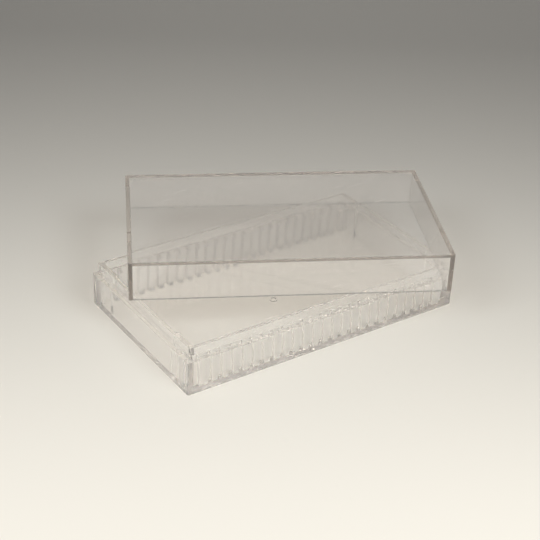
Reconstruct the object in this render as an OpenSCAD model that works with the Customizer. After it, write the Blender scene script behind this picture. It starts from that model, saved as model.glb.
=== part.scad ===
// Clear two-piece storage box for 25 microscope slides: a tray with ribbed long
// walls, and a plain lift-off lid that lies turned across the open tray.
// Frame: X along the tray, Y across it, +Z up, origin at the middle of the
// tray's underside. Millimetres.

/* [Tray] */
// Length of the box outside, along X
box_l = 139.7; // [138:0.1:200]
// Width of the box outside, along Y
box_w = 83.8; // [60:0.1:120]
// Height of the tray's outer wall, up to the shoulder where the closed lid sits
tray_h = 15.5; // [11:0.1:24]
// Height of the lip above the shoulder
lip_h = 5.3; // [3:0.1:10]
// Thickness of the lip
lip_t = 1.4; // [1:0.1:2.4]
// Thickness of the floor
floor_t = 1.6; // [1:0.1:3]
// Radius of the upright outer corners of the tray and the lid
corner_r = 0.8; // [0.4:0.1:2]
// Length of the thicker stretch of an end wall at each corner, along Y
pad_l = 12; // [5:0.1:20]
// How much thicker the end wall is there
pad_t = 1; // [0.4:0.1:2]

/* [Slots] */
// Number of slots, each for one slide standing on its long edge
slot_count = 25; // [5:1:25]
// Distance from the middle of one slot to the middle of the next
slot_pitch = 5.08; // [4:0.01:5.2]
// Width of a slot at the floor
slot_foot = 2.7; // [1.6:0.1:3.2]
// Width of a slot at the top of its ribs
slot_top = 3.7; // [2:0.1:3.8]
// How far a rib stands out from the long wall
rib_depth = 2.4; // [1.5:0.1:4]
// Radius of the curve between a rib's foot and the floor
foot_r = 1.8; // [0.6:0.1:4]
// How far below the lip's edge the ribs end
rib_drop = 4.3; // [0.6:0.1:5]
// Height of the slope at a rib's top, which leads a slide into its slot
lead_in = 2; // [0.5:0.1:5]

/* [Lid] */
// Height of the lid outside
lid_h = 18; // [12:0.1:26]
// Thickness of the lid's walls
lid_wall = 1.8; // [1.2:0.1:2.4]
// Thickness of the lid's top
lid_top_t = 1.8; // [1.2:0.1:3]
// Gap on each side between the closed lid's wall and the tray's lip
lid_clear = 0.15; // [0.1:0.05:0.5]

/* [Gate mark] */
// Diameter of the round gate mark in the middle of the tray's floor
gate_d = 3.6; // [2:0.1:6]
// Height of the gate mark above the floor
gate_h = 0.5; // [0.2:0.1:0.9]

/* [Lid at rest] */
// How far the lid is turned about Z from the tray
lid_turn = -27.3; // [-35:0.1:-15]
// Where the lid's middle lies along X
lid_x = 10; // [0:0.1:15]
// Where the lid's middle lies along Y
lid_y = 10.1; // [0:0.1:15]
// Gap between the lid's lower edge and the lip's edge that it lies on
rest_gap = 0.05; // [0.02:0.01:0.1]

/* [Hidden] */
$fn = 48;
eps = 0.01;
inner_r = 0.4;
rib_tip = 0.4;
// the shoulder takes the lid's wall and the gap beside it
shoulder_w = lid_wall + lid_clear;
wall_t = shoulder_w + lip_t;
rim_z = tray_h + lip_h;
bay_l = box_l - 2 * wall_t;
bay_w = box_w - 2 * wall_t;
// the ribs' outer faces line up with the last slots, and end blocks fill the rest
slots_l = slot_count * slot_pitch;
rib_top_z = rim_z - rib_drop;
rib_h = rib_top_z - floor_t;
rib_foot = slot_pitch - slot_foot;
rib_top = slot_pitch - slot_top;
// the curve dips into the floor, so that it ends at a clear edge
foot_sink = foot_r / 12;
end_block = (bay_l - slots_l) / 2;

// Rectangle l by w about the middle, with corners of radius r
module plate(l, w, r) {
    square([l - 2 * r, w], center = true);
    square([l, w - 2 * r], center = true);
    for (x = [-1, 1], y = [-1, 1])
        translate([x * (l / 2 - r), y * (w / 2 - r)]) circle(r);
}

// A rib's side view: u runs from the long wall into the tray, v is the height.
// The foot curves out to the floor, and the top slopes back to a narrow tip.
module rib_side() {
    difference() {
        polygon([[-eps, floor_t - eps], [rib_depth + foot_r, floor_t - eps],
                 [rib_depth + foot_r, floor_t + foot_r], [rib_depth, floor_t + foot_r],
                 [rib_depth, rib_top_z - lead_in], [rib_tip, rib_top_z], [-eps, rib_top_z]]);
        translate([rib_depth + foot_r, floor_t + foot_r - foot_sink]) circle(foot_r);
    }
}

// A rib's front view: it narrows from foot to top, so that the slots widen
module rib_front(foot, top) {
    polygon([[-foot / 2, floor_t - eps], [foot / 2, floor_t - eps],
             [top / 2, rib_top_z], [-top / 2, rib_top_z]]);
}

// One rib on the long wall at -Y, about x = 0
module rib() {
    reach = 2 * (rib_depth + foot_r);
    translate([0, -bay_w / 2, 0]) intersection() {
        rotate([90, 0, 90]) translate([0, 0, -rib_foot])
            linear_extrude(2 * rib_foot) rib_side();
        translate([0, reach, 0]) rotate([90, 0, 0])
            linear_extrude(2 * reach) rib_front(rib_foot, rib_top);
    }
}

// A corner's filling, at -X and -Y: a block beside the first slot, as deep as the
// ribs, and the pad that thickens the end wall up to the lip's edge
module corner_fill() {
    translate([-bay_l / 2 - eps, -bay_w / 2 - eps, floor_t - eps]) {
        cube([end_block + eps, rib_depth + eps, rib_h + eps]);
        cube([pad_t + eps, pad_l + eps, rim_z - floor_t + eps]);
    }
}

module base_tray() {
    color("gainsboro", 0.35) {
        difference() {
            union() {
                linear_extrude(tray_h) plate(box_l, box_w, corner_r);
                linear_extrude(rim_z)
                    plate(box_l - 2 * shoulder_w, box_w - 2 * shoulder_w, corner_r);
            }
            translate([0, 0, floor_t]) linear_extrude(rim_z) plate(bay_l, bay_w, inner_r);
        }
        for (side = [0, 180]) rotate([0, 0, side]) {
            for (i = [1 : slot_count - 1])
                translate([(i - slot_count / 2) * slot_pitch, 0, 0]) rib();
            corner_fill();
            mirror([1, 0, 0]) corner_fill();
        }
        translate([0, 0, floor_t - eps]) cylinder(d = gate_d, h = gate_h + eps);
    }
}

module lid() {
    color("gainsboro", 0.35)
        translate([lid_x, lid_y, rim_z + rest_gap]) rotate([0, 0, lid_turn]) difference() {
            linear_extrude(lid_h) plate(box_l, box_w, corner_r);
            translate([0, 0, -eps]) linear_extrude(lid_h - lid_top_t + eps)
                plate(box_l - 2 * lid_wall, box_w - 2 * lid_wall, inner_r);
        }
}

base_tray();
lid();
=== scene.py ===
import math

import bmesh
import bpy
from mathutils import Matrix, Vector


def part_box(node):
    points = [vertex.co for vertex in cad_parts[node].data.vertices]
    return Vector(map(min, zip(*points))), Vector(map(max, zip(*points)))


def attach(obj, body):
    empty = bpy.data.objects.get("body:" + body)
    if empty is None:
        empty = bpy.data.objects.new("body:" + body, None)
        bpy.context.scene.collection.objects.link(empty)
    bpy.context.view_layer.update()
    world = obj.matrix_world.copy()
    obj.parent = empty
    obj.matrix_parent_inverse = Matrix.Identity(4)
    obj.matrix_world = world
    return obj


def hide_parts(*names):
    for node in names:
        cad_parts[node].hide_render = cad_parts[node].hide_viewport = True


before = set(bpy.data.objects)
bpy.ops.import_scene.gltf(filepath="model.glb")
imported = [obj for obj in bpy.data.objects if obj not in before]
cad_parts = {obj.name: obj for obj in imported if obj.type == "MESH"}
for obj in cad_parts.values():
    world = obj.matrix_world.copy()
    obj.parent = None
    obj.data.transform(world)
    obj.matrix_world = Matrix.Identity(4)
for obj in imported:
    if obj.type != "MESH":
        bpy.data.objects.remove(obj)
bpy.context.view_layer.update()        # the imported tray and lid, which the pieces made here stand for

mm = 0.001
slack = 0.01 * mm        # when faces and edges are picked by their place
nearlyOne = 0.9          # a normal or a line counts as lying along an axis from here on
trayLow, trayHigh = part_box("base_tray")
lidLow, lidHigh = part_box("lid")


# colours are picked as sRGB hex and the shaders want linear values
def linear(hexColour):
    parts = [int(hexColour[i:i + 2], 16) / 255 for i in (1, 3, 5)]
    return [p / 12.92 if p <= 0.04045 else ((p + 0.055) / 1.055) ** 2.4 for p in parts] + [1]


# a setting is a socket's value where the node has such a socket, or else a property
def addNode(tree, kind, settings={}, links={}):
    node = tree.nodes.new(kind)
    for key, value in settings.items():
        if isinstance(key, int) or key in node.inputs:
            node.inputs[key].default_value = value
        else:
            setattr(node, key, value)
    for key, source in links.items():
        tree.links.new(source, node.inputs[key])
    return node


def deselectAll():
    if bpy.context.mode != "OBJECT":
        bpy.ops.object.mode_set(mode="OBJECT")
    bpy.ops.object.select_all(action="DESELECT")


def pickOnly(*objects):
    deselectAll()
    for obj in objects:
        obj.select_set(True)
    bpy.context.view_layer.objects.active = objects[0]


def applyPlace(obj):
    pickOnly(obj)
    bpy.ops.object.transform_apply(location=True, rotation=True, scale=True)


# a block between two corners, with its place in its mesh
def addBlock(name, low, high):
    deselectAll()
    low, high = Vector(low), Vector(high)
    bpy.ops.mesh.primitive_cube_add(size=1, location=(low + high) / 2, scale=high - low)
    block = bpy.context.object
    block.name = name
    applyPlace(block)
    return block


# the way from a target to something that stands round it, 0 is in front at -Y
def directionTo(turn, rise):
    turn, rise = math.radians(turn), math.radians(rise)
    flat = math.cos(rise)
    return Vector((math.sin(turn) * flat, -math.cos(turn) * flat, math.sin(rise)))


def editMode(obj):
    pickOnly(obj)
    bpy.ops.object.mode_set(mode="EDIT")
    bpy.ops.mesh.select_all(action="DESELECT")


# selects the faces whose middle and normal pass the test, in edit mode
def pickFaces(obj, test):
    bpy.ops.mesh.select_mode(type="FACE")
    bpy.ops.mesh.select_all(action="DESELECT")
    mesh = bmesh.from_edit_mesh(obj.data)
    for face in mesh.faces:
        if test(face.calc_center_median(), face.normal):
            face.select_set(True)
    bmesh.update_edit_mesh(obj.data)


# selects the edges whose middle and direction pass the test, in edit mode
def pickEdges(obj, test):
    bpy.ops.mesh.select_mode(type="EDGE")
    bpy.ops.mesh.select_all(action="DESELECT")
    mesh = bmesh.from_edit_mesh(obj.data)
    for edge in mesh.edges:
        a, b = (v.co for v in edge.verts)
        if test((a + b) / 2, (b - a).normalized()):
            edge.select_set(True)
    bmesh.update_edit_mesh(obj.data)


def roundPicked(radius, segments):
    bpy.ops.mesh.bevel(offset=radius, segments=segments, affect="EDGES")


def combine(body, tool, operation="UNION"):
    pickOnly(body)
    modifier = body.modifiers.new(operation.lower(), "BOOLEAN")
    modifier.operation = operation
    modifier.solver = "EXACT"
    modifier.object = tool
    bpy.ops.object.modifier_apply(modifier=modifier.name)
    bpy.data.objects.remove(tool, do_unlink=True)


# what both mouldings get at the end
moulding = dict(
    mergeWithin=0.002 * mm,
    flatWithin=0.3,            # degrees, flatter neighbours become one face
    sharpFrom=40,              # degrees, sharper edges are broken
    edgeSegments=2,
    outerSegments=6,           # upright outer corners
    innerSegments=4,
)


# merges flat neighbours, points faces out, and breaks every sharp edge with a small radius
def finishMoulding(obj, edgeRadius):
    editMode(obj)
    bpy.ops.mesh.select_all(action="SELECT")
    bpy.ops.mesh.remove_doubles(threshold=moulding["mergeWithin"])
    bpy.ops.mesh.dissolve_limited(angle_limit=math.radians(moulding["flatWithin"]))
    bpy.ops.mesh.normals_make_consistent(inside=False)
    pickOnly(obj)
    edges = obj.modifiers.new("edges", "BEVEL")
    edges.width = edgeRadius
    edges.segments = moulding["edgeSegments"]
    edges.limit_method = "ANGLE"
    edges.angle_limit = math.radians(moulding["sharpFrom"])
    edges.use_clamp_overlap = True
    bpy.ops.object.modifier_apply(modifier=edges.name)
    mesh = bmesh.new()
    mesh.from_mesh(obj.data)
    openEdges = sum(1 for e in mesh.edges if not e.is_manifold)
    volume = mesh.calc_volume(signed=True)
    mesh.free()
    print(obj.name, len(obj.data.polygons), "faces,", openEdges, "open edges,",
          round(volume / mm ** 3), "mm3")


# the tray's walls, floor, ledge and lip
trayShape = dict(
    ledgeHeight=15.5 * mm,     # where the closed lid's wall sits
    ledgeWidth=1.95 * mm,      # the lid's wall and its play
    lipWidth=1.4 * mm,
    floorThickness=1.6 * mm,
    outerRadius=0.8 * mm,
    innerRadius=0.4 * mm,
    edgeRadius=0.07 * mm,
    padLength=12 * mm,         # thicker stretch of each end wall beside a corner
    padThickness=1 * mm,
    root=0.5 * mm,             # how deep a rib or pad is sunk into the wall and the floor
)
wallWidth = trayShape["ledgeWidth"] + trayShape["lipWidth"]
bayHalfX = trayHigh.x - wallWidth
bayHalfY = trayHigh.y - wallWidth
floorTop = trayShape["floorThickness"]


def makeShell():
    shape = trayShape
    shell = addBlock("clearTray", trayLow, (trayHigh.x, trayHigh.y, shape["ledgeHeight"]))
    editMode(shell)
    pickFaces(shell, lambda middle, normal: normal.z > nearlyOne)
    bpy.ops.mesh.inset(thickness=shape["ledgeWidth"])
    lipHeight = trayHigh.z - shape["ledgeHeight"]
    bpy.ops.mesh.extrude_region_move(TRANSFORM_OT_translate={"value": (0, 0, lipHeight)})
    bpy.ops.mesh.inset(thickness=shape["lipWidth"])
    depth = trayHigh.z - floorTop
    bpy.ops.mesh.extrude_region_move(TRANSFORM_OT_translate={"value": (0, 0, -depth)})
    lipHalfX = trayHigh.x - shape["ledgeWidth"]
    pickEdges(shell, lambda middle, line: abs(line.z) > nearlyOne
              and abs(middle.x) > lipHalfX - slack)
    roundPicked(shape["outerRadius"], moulding["outerSegments"])
    pickEdges(shell, lambda middle, line: abs(line.z) > nearlyOne
              and abs(abs(middle.x) - bayHalfX) < slack)
    roundPicked(shape["innerRadius"], moulding["innerSegments"])
    deselectAll()
    return shell


# the ribs that part the 25 slots, one row along each long wall
ribShape = dict(
    slots=25,
    pitch=5.08 * mm,
    footWidth=2.38 * mm,       # along the wall, at the floor
    topWidth=1.38 * mm,        # along the wall, at the top
    depth=2.4 * mm,            # out from the wall
    top=16.5 * mm,
    slope=2 * mm,              # the lead-in at the top
    tip=0.4 * mm,              # what is left of the depth at the very top
    footRadius=1.8 * mm,       # the curve out to the floor
    sink=0.15 * mm,            # the curve dips this far into the floor
    curveSides=72,             # of the whole circle that the curve is cut from
)


# one rib, in the middle of the wall at -Y
def makeRib():
    shape, root = ribShape, trayShape["root"]
    wall = -bayHalfY
    face = wall + shape["depth"]
    halfFoot = shape["footWidth"] / 2
    rib = addBlock("rib", (-halfFoot, wall - root, floorTop - root), (halfFoot, face, shape["top"]))
    editMode(rib)
    pickFaces(rib, lambda middle, normal: normal.z > nearlyOne)
    taper = shape["topWidth"] / shape["footWidth"]
    bpy.ops.transform.resize(value=(taper, 1, 1), center_override=(0, face, shape["top"]))
    for height in (floorTop + shape["footRadius"], shape["top"] - shape["slope"]):
        bpy.ops.mesh.select_all(action="SELECT")
        bpy.ops.mesh.bisect(plane_co=(0, 0, height), plane_no=(0, 0, 1))
    pickEdges(rib, lambda middle, line: abs(line.x) > nearlyOne
              and middle.z > shape["top"] - slack and middle.y > face - slack)
    bpy.ops.transform.translate(value=(0, shape["tip"] - shape["depth"], 0))
    pickFaces(rib, lambda middle, normal: normal.y > nearlyOne
              and middle.z < floorTop + shape["footRadius"])
    bpy.ops.mesh.extrude_region_move(TRANSFORM_OT_translate={"value": (0, shape["footRadius"], 0)})
    deselectAll()
    middle = (0, face + shape["footRadius"], floorTop + shape["footRadius"] - shape["sink"])
    bpy.ops.mesh.primitive_cylinder_add(
        vertices=shape["curveSides"], radius=shape["footRadius"], depth=2 * shape["footWidth"],
        location=middle, rotation=(0, math.pi / 2, 0))
    cutter = bpy.context.object
    applyPlace(cutter)
    combine(rib, cutter, "DIFFERENCE")
    return rib


def makeRibRows():
    shape = ribShape
    rib = makeRib()
    pickOnly(rib)
    firstX = (1 - shape["slots"] / 2) * shape["pitch"]
    bpy.ops.transform.translate(value=(firstX, 0, 0))
    row = [rib]
    for step in range(shape["slots"] - 2):
        bpy.ops.object.duplicate_move(TRANSFORM_OT_translate={"value": (shape["pitch"], 0, 0)})
        row.append(bpy.context.object)
    pickOnly(*row)
    bpy.ops.object.duplicate()
    farRow = list(bpy.context.selected_objects)
    for copy in farRow:
        copy.matrix_world = Matrix.Rotation(math.pi, 4, "Z") @ copy.matrix_world
    pickOnly(*row, *farRow)
    bpy.ops.object.join()
    rows = bpy.context.object
    rows.name = "ribs"
    applyPlace(rows)
    return rows


# the blocks beside the first and last slots, and the pads on the end walls
def makeCornerFills(kind):
    root, shape = trayShape["root"], trayShape
    slotsHalf = ribShape["slots"] * ribShape["pitch"] / 2
    fills = []
    for sideX in (-1, 1):
        for sideY in (-1, 1):
            if kind == "block":
                inner = (slotsHalf, bayHalfY - ribShape["depth"], ribShape["top"])
            else:
                inner = (bayHalfX - shape["padThickness"], bayHalfY - shape["padLength"],
                         trayHigh.z)
            outer = (bayHalfX + root, bayHalfY + root, floorTop - root)
            xs = sorted((sideX * inner[0], sideX * outer[0]))
            ys = sorted((sideY * inner[1], sideY * outer[1]))
            fills.append(addBlock(kind, (xs[0], ys[0], outer[2]), (xs[1], ys[1], inner[2])))
    pickOnly(*fills)
    bpy.ops.object.join()
    return bpy.context.object


# the round mark that the moulding gate leaves in the middle of the floor
gateMark = dict(
    radius=1.8 * mm,
    height=0.5 * mm,
    rim=0.55 * mm,             # flat ring round the dimple
    dimple=0.22 * mm,
    dimpleFoot=0.7,            # how wide the dimple's bottom is, of its mouth
    sides=64,
)


def makeGateMark():
    mark, root = gateMark, trayShape["root"]
    deselectAll()
    middle = (0, 0, floorTop + (mark["height"] - root) / 2)
    bpy.ops.mesh.primitive_cylinder_add(vertices=mark["sides"], radius=mark["radius"],
                                        depth=mark["height"] + root, location=middle)
    gate = bpy.context.object
    gate.name = "gate"
    applyPlace(gate)
    editMode(gate)
    pickFaces(gate, lambda middle, normal: normal.z > nearlyOne)
    bpy.ops.mesh.inset(thickness=mark["rim"])
    bpy.ops.mesh.extrude_region_move(TRANSFORM_OT_translate={"value": (0, 0, -mark["dimple"])})
    bpy.ops.transform.resize(value=(mark["dimpleFoot"], mark["dimpleFoot"], 1))
    deselectAll()
    return gate


def makeTray():
    tray = makeShell()
    combine(tray, makeCornerFills("block"))
    combine(tray, makeCornerFills("pad"))
    combine(tray, makeRibRows())
    combine(tray, makeGateMark())
    finishMoulding(tray, trayShape["edgeRadius"])
    return tray


# the plain cap, lying turned across the tray
lidShape = dict(
    length=139.7 * mm,
    width=83.8 * mm,
    wall=1.8 * mm,
    top=1.8 * mm,
    outerRadius=0.8 * mm,
    innerRadius=0.4 * mm,
    edgeRadius=0.07 * mm,
    turn=-27.3,                # degrees about Z from the tray
)


def makeLid():
    shape = lidShape
    middle = (lidLow + lidHigh) / 2
    halfX, halfY, height = shape["length"] / 2, shape["width"] / 2, lidHigh.z - lidLow.z
    lid = addBlock("clearLid", (-halfX, -halfY, 0), (halfX, halfY, height))
    editMode(lid)
    pickFaces(lid, lambda middle, normal: normal.z < -nearlyOne)
    bpy.ops.mesh.inset(thickness=shape["wall"])
    depth = height - shape["top"]
    bpy.ops.mesh.extrude_region_move(TRANSFORM_OT_translate={"value": (0, 0, depth)})
    pickEdges(lid, lambda middle, line: abs(line.z) > nearlyOne and abs(middle.x) > halfX - slack)
    roundPicked(shape["outerRadius"], moulding["outerSegments"])
    pickEdges(lid, lambda middle, line: abs(line.z) > nearlyOne
              and abs(middle.x) < halfX - shape["wall"] + slack)
    roundPicked(shape["innerRadius"], moulding["innerSegments"])
    deselectAll()
    finishMoulding(lid, shape["edgeRadius"])
    lid.rotation_euler = (0, 0, math.radians(shape["turn"]))
    lid.location = (middle.x, middle.y, lidLow.z)
    applyPlace(lid)
    return lid


tray = makeTray()
lid = makeLid()
print("tray and lid modelled")


# clear polystyrene, injection moulded: crisp glossy skin with a faint flow ripple, hair
# scratches and rubbed patches from use, and a brown cast where the view runs along a wall
styrene = dict(
    tint="#fefefe",
    ior=1.59,
    clarity=0.94,              # the rest is dust and bloom on the skin
    polish=0.05,               # roughness of untouched skin
    rubbed=0.12,               # roughness in rubbed patches
    scratched=0.35,            # roughness in a scratch
    absorbColour="#c0ae9c",
    absorbDensity=dict(clearTray=6, clearLid=26),    # per metre, set for each
    lampTint="#f6f5f4",        # what lamps keep on their way through a wall
    rippleSize=22 * mm,        # spacing of the moulding's flow ripple
    rippleHeight=0.02 * mm,
    rubSize=9 * mm,
    rubShows=(0.45, 0.75),     # the noise values where rubbing starts and is full
    ribHaze=0.24,              # the mould's rib blades are left less polished
    ribReach=0.1 * mm,         # how far past the ribs the haze goes
    scratchSpacing=1.2 * mm,   # real ones are finer, and this is what still shows
    scratchLength=40 * mm,
    scratchTilt=(0.4, 0.3),    # radians, so that no face lies along the lines
    scratchTurns=(8, 71),      # degrees about Z, wiped along and across
    scratchShows=(0.66, 0.72),
)


# thin lines along one direction, broken up so that they start and stop
def addScratches(tree, place, seed, turn):
    look = styrene
    stretch = look["scratchLength"] / look["scratchSpacing"]
    laid = addNode(tree, "ShaderNodeMapping",
                   {"Rotation": (*look["scratchTilt"], math.radians(turn)),
                    "Scale": (1, stretch, stretch)}, {"Vector": place.outputs["Object"]})
    streaks = addNode(tree, "ShaderNodeTexNoise",
                      {"noise_dimensions": "4D", "W": seed, "Scale": 1 / look["scratchLength"],
                       "Detail": 3, "Roughness": 0.7}, {"Vector": laid.outputs["Vector"]})
    start, full = look["scratchShows"]
    return addNode(tree, "ShaderNodeMapRange", {"From Min": start, "From Max": full},
                   {"Value": streaks.outputs["Fac"]})


# 1 on the ribs and the wall between them, 0 elsewhere
def addRibMask(tree, place):
    split = addNode(tree, "ShaderNodeSeparateXYZ", {}, {0: place.outputs["Object"]})
    sideways = addNode(tree, "ShaderNodeMath", {"operation": "ABSOLUTE"}, {0: split.outputs["Y"]})
    innerFeet = bayHalfY - ribShape["depth"] - ribShape["footRadius"]
    reach = styrene["ribReach"]
    tests = [("GREATER_THAN", sideways.outputs[0], innerFeet),
             ("LESS_THAN", sideways.outputs[0], bayHalfY + reach),
             ("GREATER_THAN", split.outputs["Z"], floorTop + reach),
             ("LESS_THAN", split.outputs["Z"], ribShape["top"] + reach)]
    mask = None
    for operation, source, limit in tests:
        test = addNode(tree, "ShaderNodeMath", {"operation": operation, 1: limit}, {0: source})
        if mask:
            mask = addNode(tree, "ShaderNodeMath", {"operation": "MULTIPLY"},
                           {0: mask.outputs[0], 1: test.outputs[0]})
        else:
            mask = test
    return mask


def makeStyrene(piece, name, seed, ribbed=False):
    look = styrene
    material = bpy.data.materials.new(name)
    material.use_nodes = True
    tree = material.node_tree
    shader = tree.nodes["Principled BSDF"]
    shader.inputs["Base Color"].default_value = linear(look["tint"])
    shader.inputs["IOR"].default_value = look["ior"]
    shader.inputs["Transmission Weight"].default_value = look["clarity"]
    place = addNode(tree, "ShaderNodeTexCoord")
    rubs = addNode(tree, "ShaderNodeTexNoise",
                   {"noise_dimensions": "4D", "W": seed, "Scale": 1 / look["rubSize"], "Detail": 5,
                    "Roughness": 0.65}, {"Vector": place.outputs["Object"]})
    start, full = look["rubShows"]
    skin = addNode(tree, "ShaderNodeMapRange",
                   {"From Min": start, "From Max": full,
                    "To Min": look["polish"], "To Max": look["rubbed"]},
                   {"Value": rubs.outputs["Fac"]})
    along, across = (addScratches(tree, place, seed + step, turn)
                     for step, turn in enumerate(look["scratchTurns"], 1))
    lines = addNode(tree, "ShaderNodeMath", {"operation": "MAXIMUM"},
                    {0: along.outputs[0], 1: across.outputs[0]})
    rough = addNode(tree, "ShaderNodeMath", {"operation": "MULTIPLY_ADD", 1: look["scratched"]},
                    {0: lines.outputs[0], 2: skin.outputs[0]})
    if ribbed:
        mask = addRibMask(tree, place)
        rough = addNode(tree, "ShaderNodeMath", {"operation": "MULTIPLY_ADD", 1: look["ribHaze"]},
                        {0: mask.outputs[0], 2: rough.outputs[0]})
    tree.links.new(rough.outputs[0], shader.inputs["Roughness"])
    ripple = addNode(tree, "ShaderNodeTexNoise",
                     {"noise_dimensions": "4D", "W": seed + 3, "Scale": 1 / look["rippleSize"],
                      "Detail": 1}, {"Vector": place.outputs["Object"]})
    bump = addNode(tree, "ShaderNodeBump", {"Strength": 1, "Distance": look["rippleHeight"]},
                   {"Height": ripple.outputs["Fac"]})
    tree.links.new(bump.outputs[0], shader.inputs["Normal"])
    # lamps shine straight through, so that they still light what is behind a wall
    lamps = addNode(tree, "ShaderNodeLightPath")
    through = addNode(tree, "ShaderNodeBsdfTransparent", {"Color": linear(look["lampTint"])})
    mix = addNode(tree, "ShaderNodeMixShader", {},
                  {0: lamps.outputs["Is Shadow Ray"], 1: shader.outputs[0], 2: through.outputs[0]})
    body = addNode(tree, "ShaderNodeVolumeAbsorption",
                   {"Color": linear(look["absorbColour"]),
                    "Density": look["absorbDensity"][piece.name]})
    output = tree.nodes["Material Output"]
    tree.links.new(mix.outputs[0], output.inputs["Surface"])
    tree.links.new(body.outputs[0], output.inputs["Volume"])
    return material


def dress(piece, material, body, node):
    piece.data.materials.clear()
    piece.data.materials.append(material)
    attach(piece, body)
    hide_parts(node)


trayLook = makeStyrene(tray, "mouldedPolystyreneTray", 3, ribbed=True)
dress(tray, trayLook, "tray", "base_tray")
lidLook = makeStyrene(lid, "mouldedPolystyreneLid", 8)
dress(lid, lidLook, "lid", "lid")
print("polystyrene on both mouldings")


# the view: from the front left and above, with a long lens
shot = dict(azimuth=-34.83, elevation=30.19, roll=2.24, distance=0.5964,
            target=(15.14 * mm, 25.48 * mm, 0), lens=83.42, sensor=36, near=0.01, far=20)


def makeCamera():
    back = directionTo(shot["azimuth"], shot["elevation"])
    turn = math.radians(shot["azimuth"])
    right = Vector((math.cos(turn), math.sin(turn), 0))
    up = back.cross(right)
    roll = Matrix.Rotation(math.radians(shot["roll"]), 3, back)
    data = bpy.data.cameras.new("camera")
    camera = bpy.data.objects.new("camera", data)
    bpy.context.collection.objects.link(camera)
    pose = Matrix((roll @ right, roll @ up, back)).transposed().to_4x4()
    pose.translation = Vector(shot["target"]) + back * shot["distance"]
    camera.matrix_world = pose
    data.lens = shot["lens"]
    data.sensor_width = shot["sensor"]
    data.clip_start, data.clip_end = shot["near"], shot["far"]
    bpy.context.scene.camera = camera


# a paper sweep: flat table, a wide curve behind, and a wall
sweep = dict(
    front=2.2,
    side=3.0,
    behind=0.35,               # where the curve starts
    radius=0.5,
    curveSteps=32,
    wall=1.5,
    drop=0.1 * mm,             # keeps the paper clear of the tray's underside
    colour="#dedcd6",
    roughness=0.9,
)


def makeSweep():
    deselectAll()
    length = sweep["front"] + sweep["behind"]
    middle = (sweep["behind"] - sweep["front"]) / 2
    bpy.ops.mesh.primitive_plane_add(size=1, location=(0, middle, -sweep["drop"]))
    paper = bpy.context.object
    paper.name = "paperSweep"
    paper.scale = (2 * sweep["side"], length, 1)
    applyPlace(paper)
    editMode(paper)
    pickEdges(paper, lambda middle, line: abs(line.x) > nearlyOne
              and middle.y > sweep["behind"] - mm)
    centre = (0, sweep["behind"], sweep["radius"] - sweep["drop"])
    bpy.ops.mesh.spin(steps=sweep["curveSteps"], angle=math.pi / 2, center=centre, axis=(-1, 0, 0))
    bpy.ops.mesh.extrude_region_move(TRANSFORM_OT_translate={"value": (0, 0, sweep["wall"])})
    bpy.ops.mesh.select_all(action="SELECT")
    bpy.ops.mesh.normals_make_consistent(inside=False)
    deselectAll()
    paper.rotation_euler = (0, 0, math.radians(shot["azimuth"]))
    applyPlace(paper)
    bpy.ops.object.shade_smooth_by_angle(angle=math.radians(30))
    material = bpy.data.materials.new("mattPaper")
    material.use_nodes = True
    shader = material.node_tree.nodes["Principled BSDF"]
    shader.inputs["Base Color"].default_value = linear(sweep["colour"])
    shader.inputs["Roughness"].default_value = sweep["roughness"]
    paper.data.materials.append(material)


# two soft boxes in front, one on each side of the camera, and an even pale room
lights = dict(
    powers={-35: 1.2, 35: 1.36},    # watts, by degrees round from the camera
    rise=42,
    distance=0.48,
    size=0.15,
    colour="#fffcf6",
    room=0.12,
    roomColour="#f6f7ff",
)


def makeLights():
    for turn, power in lights["powers"].items():
        data = bpy.data.lights.new("softBox", "AREA")
        data.shape = "SQUARE"
        data.size = lights["size"]
        data.energy = power
        data.color = linear(lights["colour"])[:3]
        box = bpy.data.objects.new("softBox", data)
        bpy.context.collection.objects.link(box)
        box.visible_transmission = False       # its light already comes through the clear walls
        box.visible_glossy = False             # and would leave hard white glints on thin edges
        towards = directionTo(shot["azimuth"] + turn, lights["rise"])
        box.location = Vector(shot["target"]) + towards * lights["distance"]
        box.rotation_euler = towards.to_track_quat("Z", "Y").to_euler()
    world = bpy.data.worlds.new("paleRoom")
    bpy.context.scene.world = world
    world.use_nodes = True
    background = world.node_tree.nodes["Background"]
    background.inputs["Color"].default_value = linear(lights["roomColour"])
    background.inputs["Strength"].default_value = lights["room"]


# light runs a long way inside the clear walls
paths = dict(bounces=128, clearSurfaces=64, brightest=10)


def setPaths():
    scene = bpy.context.scene
    scene.view_settings.view_transform = "Standard"
    scene.cycles.max_bounces = paths["bounces"]
    scene.cycles.glossy_bounces = paths["bounces"]
    scene.cycles.transmission_bounces = paths["bounces"]
    scene.cycles.transparent_max_bounces = paths["clearSurfaces"]
    scene.cycles.sample_clamp_indirect = paths["brightest"]
    scene.cycles.blur_glossy = 0               # blurred walls would light the tray's floor too much


makeCamera()
makeSweep()
makeLights()
setPaths()
print("camera, paper sweep and lights placed")
